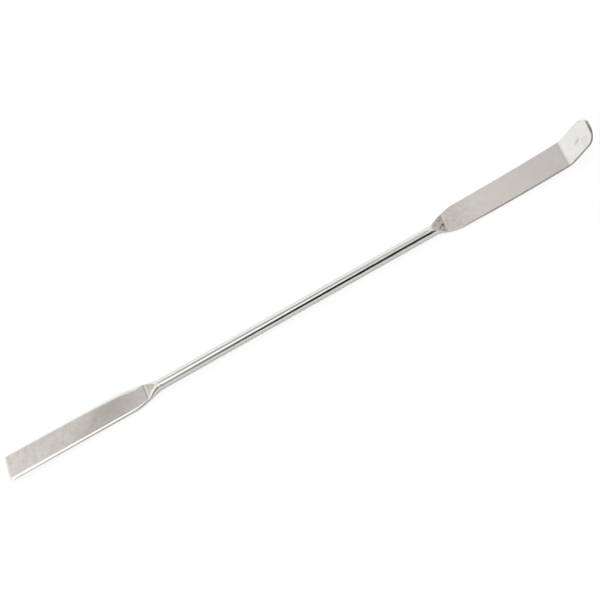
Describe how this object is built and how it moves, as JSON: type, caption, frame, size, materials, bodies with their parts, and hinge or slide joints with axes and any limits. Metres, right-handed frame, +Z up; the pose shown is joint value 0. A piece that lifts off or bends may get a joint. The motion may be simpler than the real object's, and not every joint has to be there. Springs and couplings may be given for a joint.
{
  "type": "lab spatula",
  "caption": "One-piece stainless steel lab spatula: round rod with a straight square-ended blade at one end and an angled blade with a bent-up tip at the other.",
  "frame": {"origin": "on the axis of the round rod, at the middle of its length", "axes": "+X along the rod towards the blade with the bent tip, +Z up from the surface that the spatula lies on"},
  "size_m": [0.1975, 0.01, 0.011],
  "materials": {
    "steel": "polished rod, satin forged blades"
  },
  "bodies": {
    "root": {"spatula": "steel"}
  },
  "joints": []
}
